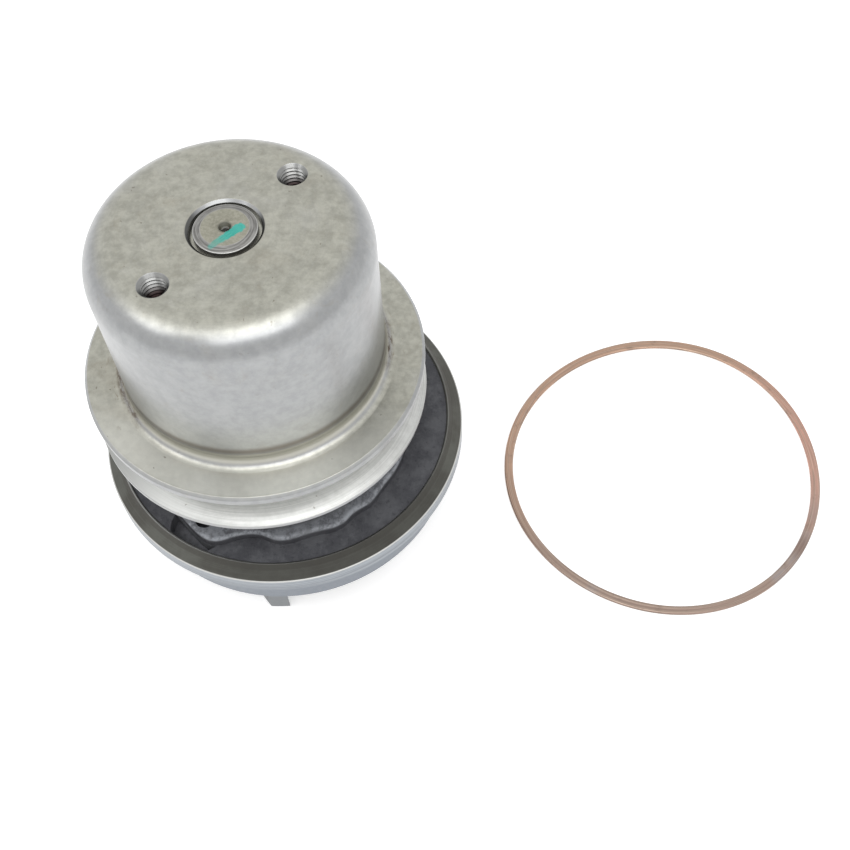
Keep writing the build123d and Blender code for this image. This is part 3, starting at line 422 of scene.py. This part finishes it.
def housing_iron():
    """Grey iron: rough and dark as cast, with a painted highlight and a painted shadow at the
    foot, a turned and stained clamping rim with painted highlights on its crest and lip and a
    stretch darker at the front right, a bright flange edge, a blue-grey spigot, and painted
    shade in the corner where the spigot meets the seat."""
    s = Surface("housing_iron")
    radius, angle, height, marks, _ = s.turned(HOUSING)
    shaft_radius = s.polar(SHAFT)[0]
    x, y, _ = s.split(s.place)
    up = s.split(s.facing)[2]
    sand = s.noise(s.place, 1100, 4.0, 0.7)
    grit = s.noise(s.place, 420, 4.0, 0.65)
    lumps = s.noise(s.place, 90, 4.0, 0.6)

    # casting skin
    skin = s.mix(s.step(lumps, 0.36, 0.66), (0.100, 0.102, 0.113), (0.168, 0.172, 0.184))
    skin = s.mix(s.both(s.step(grit, 0.52, 0.70), 0.45), skin, (0.21, 0.215, 0.23))
    skin = s.mix(s.both(s.step(grit, 0.45, 0.30), 0.5), skin, (0.035, 0.035, 0.042))

    # painted highlight along the edge of the foot, and painted shadow on its side below
    edge = s.both(s.within(height, *FOOT_EDGE_Z), s.step(shaft_radius, *FOOT_EDGE_R))
    broken = s.step(s.noise(s.place, 260, 4.0, 0.8), 0.38, 0.60, 0.15, 1.0)
    edge = s.both(edge, broken)
    skin = s.mix(edge, skin, (0.31, 0.325, 0.35))
    side = s.both(s.within(height, *FOOT_SIDE_Z), s.step(shaft_radius, *FOOT_SIDE_R))
    skin = s.mix(s.both(side, 0.65), skin, (0.035, 0.035, 0.04))

    # turned rim: stained, with a dark inner band, a painted highlight on its crest, a stretch
    # darker at the front right, and a painted highlight on its lip
    cloud = s.step(s.noise(s.place, 60, 4.0, 0.6), 0.35, 0.65)
    stained = s.mix(cloud, (0.082, 0.080, 0.070), (0.118, 0.120, 0.106))
    stained = s.mix(s.both(s.step(marks, 0.45, 0.65), 0.25), stained, (0.14, 0.14, 0.13))
    inner_band = s.within(radius, *RIM_BAND_R)
    stained = s.mix(s.both(inner_band, 0.6), stained, (0.070, 0.066, 0.058))
    # painted highlight on the crest, stronger to the left
    crest = s.within(radius, *RIM_CREST_R)
    one_side = s.step(x, 0.055, -0.02, 0.25, 0.9)
    stained = s.mix(s.both(crest, one_side), stained, (0.36, 0.36, 0.35))
    # darker over the front right of the rim
    darker_front_right = s.both(s.step(y, -0.005, -0.055), s.step(x, -0.045, 0.0))
    stained = s.mix(s.both(darker_front_right, 0.55), stained, (0.035, 0.034, 0.030))
    # painted highlight on the lip
    lip = s.step(radius, *RIM_LIP_R)
    stained = s.mix(lip, stained, (0.62, 0.62, 0.60))
    rim = s.both(s.step(radius, *RIM_R), s.step(height, *RIM_Z))
    rim = s.both(rim, s.step(up, 0.02, 0.12))
    base = s.mix(rim, skin, stained)

    # flange edge, seating face and spigot
    machined = s.mix(s.step(marks, 0.35, 0.65), (0.25, 0.27, 0.295), (0.35, 0.375, 0.405))
    drawn_out = s.combine(s.both(angle, 0.012), 0.0, s.both(height, 3.0))
    streaks = s.step(s.noise(drawn_out, 330, 4.0, 0.7, 0.3), 0.56, 0.68)
    machined = s.mix(s.both(streaks, 0.5), machined, (0.17, 0.18, 0.20))
    step_line = s.within(height, *FLANGE_STEP_Z)
    machined = s.mix(s.both(step_line, 0.6), machined, (0.16, 0.165, 0.175))
    edge_band = s.both(s.step(radius, *FLANGE_EDGE_R), s.step(height, *FLANGE_EDGE_Z, 1.0, 0.0))
    below = s.both(s.step(height, *SEAT_Z), s.step(radius, *SPIGOT_R))
    bare = s.either(edge_band, below)
    base = s.mix(bare, base, machined)
    spigot = s.both(s.step(height, *SPIGOT_Z), s.step(radius, *SPIGOT_R))
    base = s.mix(s.both(spigot, 0.75), base, (0.21, 0.23, 0.26))
    # painted shade: a dark ring in the corner where the spigot meets the seating face
    painted_corner_shade = s.both(s.within(height, *CORNER_Z), s.within(radius, *CORNER_R))
    base = s.mix(s.both(painted_corner_shade, 0.75), base, (0.05, 0.05, 0.055))

    # bare metal is bright and smooth, the skin dull and rough
    turned_part = s.either(rim, bare)
    bright = s.either(bare, s.both(rim, s.either(lip, crest)))
    metal = s.plus(0.10, s.both(bright, 0.82))
    s.bsdf.inputs["Specular IOR Level"].default_value = 0.2
    rough = s.plus(0.52, s.both(grit, 0.22))
    rough = s.minus(rough, s.both(bright, 0.24))
    rough = s.minus(rough, s.both(edge, 0.16))
    rough_part = s.minus(1.0, s.both(turned_part, 0.93))
    normal = s.bump(s.both(sand, rough_part), 0.55, 0.0002)
    normal = s.bump(s.both(grit, rough_part), 0.6, 0.0005, normal)
    normal = s.bump(s.both(lumps, rough_part), 0.5, 0.0012, normal)
    normal = s.bump(s.both(marks, turned_part), 0.3, 0.00003, normal)
    return s.finish(base, rough, metal, normal)


# ---- impeller and inner pieces -----------------------------------------------------------
VANE_TIP_RISE = (0.0007, 0.0003)    # the machined tips are below these heights
IMPELLER_RIM_R = (0.0647, 0.0650)


def impeller_iron():
    """Cast impeller with machined vane tips and rim."""
    s = Surface("impeller_iron")
    radius, _, height, marks, _ = s.turned(SHAFT)
    sand = s.noise(s.place, 1000, 4.0, 0.7)
    lumps = s.noise(s.place, 130, 4.0, 0.6)
    base = s.mix(s.step(lumps, 0.35, 0.65), (0.17, 0.175, 0.185), (0.25, 0.26, 0.27))
    base = s.mix(s.both(s.step(sand, 0.5, 0.3), 0.4), base, (0.10, 0.10, 0.105))
    tips = s.step(height, FLOOR_Z + VANE_TIP_RISE[0], FLOOR_Z + VANE_TIP_RISE[1])
    tips = s.either(tips, s.step(radius, *IMPELLER_RIM_R))
    base = s.mix(tips, base, s.mix(marks, (0.19, 0.20, 0.21), (0.28, 0.29, 0.30)))
    rough_part = s.minus(1.0, s.both(tips, 0.9))
    rough = s.plus(0.42, s.both(rough_part, 0.15))
    normal = s.bump(s.both(sand, rough_part), 0.5, 0.0002)
    normal = s.bump(s.both(lumps, rough_part), 0.5, 0.0008, normal)
    normal = s.bump(s.both(marks, tips), 0.3, 0.00003, normal)
    return s.finish(base, rough, 0.7, normal)


def plain(name, color, roughness, metallic):
    """Small inner pieces: even tone with slight grain."""
    s = Surface(name)
    grain = s.noise(s.place, 600, 4.0)
    dark = tuple(0.82 * channel for channel in color)
    base = s.mix(grain, dark, color)
    rough = s.plus(roughness - 0.08, s.both(grain, 0.16))
    return s.finish(base, rough, metallic, s.bump(grain, 0.2, 0.00005))


dress(pulley_steel(), "drive_pulley")
dress(shaft_steel(), "shaft")
dress(housing_iron(), "pump_housing")
dress(impeller_iron(), "impeller")

PRESSED = plain("pressed_steel", (0.42, 0.42, 0.41), 0.35, 1.0)
BY_SLOT = {
    "seal_rubber": plain("seal_rubber", (0.03, 0.03, 0.03), 0.6, 0.0),
    "bearing_steel": plain("bearing_steel", (0.6, 0.6, 0.6), 0.2, 1.0),
    "pressed_steel": PRESSED,
    "slinger_steel": PRESSED,
    "spring_steel": plain("spring_steel", (0.3, 0.3, 0.31), 0.35, 1.0),
    "seal_brass": plain("seal_brass", (0.62, 0.48, 0.25), 0.35, 1.0),
    "seal_carbon": plain("seal_carbon", (0.06, 0.06, 0.065), 0.35, 0.1),
    "seal_ceramic": plain("seal_ceramic", (0.85, 0.83, 0.78), 0.3, 0.0),
}
for part in frame["record"]["subparts"]:
    if part["material_slot"] in BY_SLOT:
        dress(BY_SLOT[part["material_slot"]], part["node"])


# ---- loose ring ------------------------------------------------------------------------------
COPPER = (0.50, 0.325, 0.235)
PINK = (0.60, 0.35, 0.28)
PAINTED_DULL_REFLECTION = (0.31, 0.235, 0.205)
PAINTED_BLUE_REFLECTION = (0.34, 0.335, 0.35)

RING_TURNS = 360
RING_WALL = 0.0047                # from the CAD ring's outside to its bore
RING_INSET_MM = 0.3
RING_SECTION = [                  # across the band from its bore, and up, both from 0 to 1
    (0.0, 0.25), (0.0, 0.75), (0.05, 0.94), (0.14, 1.0),
    (0.34, 1.0), (0.40, 0.965), (0.46, 0.955), (0.52, 0.965), (0.58, 1.0),
    (0.86, 1.0), (0.95, 0.94), (1.0, 0.75), (1.0, 0.25),
    (0.92, 0.02), (0.5, 0.0), (0.08, 0.02),
]


def ring_copper(centre):
    """Tarnished copper: rolled lines along the band, brown and pink by turns, with a painted
    reflection, dull and grey-blue, at the front.
    """
    s = Surface("ring_copper")
    radius, angle, _ = s.polar(centre)
    sine, cosine = s.math("SINE", angle), s.math("COSINE", angle)
    hue = s.noise(s.combine(cosine, sine, 0.0), 1.6, 3.0, 0.6)
    lines = s.noise(s.combine(radius, s.both(angle, 0.0012), 0.0), 3800, 2.0, 0.6)
    grain = s.noise(s.place, 1500, 3.0, 0.6)

    # painted reflection: duller and grey-blue at the front, for the dark surroundings it
    # mirrors; pinker on the right
    front = s.step(sine, 0.1, -0.8)
    base = s.mix(s.step(cosine, 0.4, 1.0), COPPER, PINK)
    base = s.mix(s.both(front, 0.85), base, PAINTED_DULL_REFLECTION)
    base = s.mix(s.both(s.both(front, s.step(hue, 0.50, 0.60)), 0.7), base, PAINTED_BLUE_REFLECTION)
    base = s.mix(s.both(s.step(hue, 0.56, 0.70), 0.35), base, PINK)

    # rolled lines
    stripe = s.step(s.noise(s.combine(radius, 0.0, 0.0), 900, 2.0, 0.6), 0.45, 0.62)
    base = s.mix(s.both(stripe, 0.35), base, (0.62, 0.52, 0.42))
    base = s.mix(s.both(s.step(lines, 0.40, 0.60), 0.5), base, (0.27, 0.205, 0.17))
    dark_line = s.step(s.noise(s.combine(radius, 0.3, 0.0), 1500, 1.0, 0.5), 0.50, 0.62)
    base = s.mix(s.both(dark_line, 0.45), base, (0.20, 0.15, 0.12))

    # a dark kink near the front right, and tarnish
    x, y, _ = s.split(s.place)
    kink = s.patch(x, y, (centre[0] + 0.0655, centre[1] - 0.0435), 0.006, 0.005)
    base = s.mix(s.both(kink, 0.5), base, (0.17, 0.11, 0.085))
    tarnish = s.step(s.noise(s.place, 160, 4.0, 0.65), 0.56, 0.70)
    base = s.mix(s.both(tarnish, 0.45), base, (0.20, 0.15, 0.125))

    rough = s.plus(0.34, s.both(grain, 0.16))
    normal = s.bump(lines, 0.4, 0.00006)
    normal = s.bump(grain, 0.2, 0.00003, normal)
    return s.finish(base, rough, 1.0, normal)


def make_ring():
    """Thin rolled band, sprung slightly out of round, with a faint groove along its face."""
    low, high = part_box("flange_seal_ring")
    centre = (low + high) / 2
    bore_mm = ((high.x - low.x) / 2 - RING_WALL) / MM
    thick = high.z - low.z
    rings = []
    mesh = bmesh.new()
    for index in range(RING_TURNS):
        swing = math.tau * index / RING_TURNS
        spring = 0.6 * math.sin(2 * swing) - 0.8 * math.cos(3 * swing)
        width = 4.45 + 0.15 * math.cos(swing) + 0.3 * math.sin(swing)
        inner = bore_mm + spring - RING_INSET_MM
        row = []
        for across, rise in RING_SECTION:
            radius = (inner + across * width) * MM
            x = centre.x + radius * math.cos(swing)
            y = centre.y + radius * math.sin(swing)
            row.append(mesh.verts.new((x, y, low.z + rise * thick)))
        rings.append(row)
    for index, row in enumerate(rings):
        following = rings[(index + 1) % RING_TURNS]
        for at in range(len(row)):
            then = (at + 1) % len(row)
            mesh.faces.new((row[at], following[at], following[then], row[then]))
    bmesh.ops.recalc_face_normals(mesh, faces=mesh.faces)
    for face in mesh.faces:
        face.smooth = True
    data = bpy.data.meshes.new("seal_ring_band")
    mesh.to_mesh(data)
    mesh.free()
    ring = bpy.data.objects.new("seal_ring_band", data)
    bpy.context.scene.collection.objects.link(ring)
    data.materials.append(ring_copper(centre))
    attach(ring, "seal_ring")
    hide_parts("flange_seal_ring")


make_ring()


# ---- floor, lamps and camera ------------------------------------------------------------------
FLOOR_HALF = 6.0
FLOOR_GAP = 0.0001      # the floor is just under the vane tips
FLOOR_SEEN = 0.50       # added for the camera and mirrors, so that the ground is white to both
ROOM_LIGHT = 0.80       # the room as a light, where 1 is white
AIM = (0, 0, 0.10)

LENS = 48.1
SHIFT = (-0.0603, -0.0093)
PITCH = math.radians(57.372)
ROLL = math.radians(-1.507)
CAMERA_PLACE = (0.08911, -0.28437, 0.46010)


def shown(s):
    """1 for rays from the camera and for those that mirrors and glass send."""
    path = s.add("ShaderNodeLightPath")
    mirrored = s.either(path.outputs["Is Glossy Ray"], path.outputs["Is Transmission Ray"])
    return s.plus(path.outputs["Is Camera Ray"], mirrored)


def make_floor():
    """Pale ground that keeps the object's shadow."""
    half, ground = FLOOR_HALF, FLOOR_Z - FLOOR_GAP
    corners = [(-half, -half), (half, -half), (half, half), (-half, half)]
    mesh = bpy.data.meshes.new("floor")
    mesh.from_pydata([(x, y, ground) for x, y in corners], [], [(0, 1, 2, 3)])
    floor = bpy.data.objects.new("floor", mesh)
    bpy.context.scene.collection.objects.link(floor)
    s = Surface("floor_white")
    s.join(s.both(shown(s), FLOOR_SEEN), s.bsdf.inputs["Emission Strength"])
    s.bsdf.inputs["Emission Color"].default_value = WHITE
    mesh.materials.append(s.finish((0.8, 0.8, 0.8), 0.9, 0.0))


def make_world():
    """A plain room, white to the camera and in mirrors."""
    world = bpy.data.worlds.new("studio")
    bpy.context.scene.world = world
    world.use_nodes = True
    s = Shader(world.node_tree)
    background = s.tree.nodes["Background"]
    white = shown(s)
    strength = s.plus(white, s.both(s.minus(1.0, white), ROOM_LIGHT))
    s.join(strength, background.inputs["Strength"])
    background.inputs["Color"].default_value = WHITE


def lamp(name, place, size, glow):
    """Soft box that looks glow times as bright as white paper."""
    data = bpy.data.lights.new(name, "AREA")
    data.shape = "RECTANGLE"
    data.size, data.size_y = size
    data.energy = glow * math.pi * size[0] * size[1]
    obj = bpy.data.objects.new(name, data)
    obj.location = place
    obj.rotation_euler = (Vector(AIM) - Vector(place)).to_track_quat("-Z", "Y").to_euler()
    bpy.context.scene.collection.objects.link(obj)


def make_camera():
    """Camera tilted down by PITCH and turned about its own view by ROLL."""
    data = bpy.data.cameras.new("camera")
    data.sensor_width = 36.0
    data.lens = LENS
    data.shift_x, data.shift_y = SHIFT
    forward = Vector((0, math.cos(PITCH), -math.sin(PITCH)))
    right = Vector((1, 0, 0))
    down = Vector((0, -math.sin(PITCH), -math.cos(PITCH)))
    turned_right = math.cos(ROLL) * right + math.sin(ROLL) * down
    turned_down = -math.sin(ROLL) * right + math.cos(ROLL) * down
    axes = Matrix((turned_right, -turned_down, -forward)).transposed().to_4x4()
    camera = bpy.data.objects.new("camera", data)
    camera.matrix_world = Matrix.Translation(CAMERA_PLACE) @ axes
    bpy.context.scene.collection.objects.link(camera)
    bpy.context.scene.camera = camera


make_floor()
make_world()
lamp("front", place=(0.20, -0.50, 1.17), size=(1.05, 0.80), glow=2.15)
lamp("left", place=(-0.72, -0.30, 0.98), size=(0.50, 0.50), glow=2.0)
make_camera()
bpy.context.scene.view_settings.view_transform = "Standard"
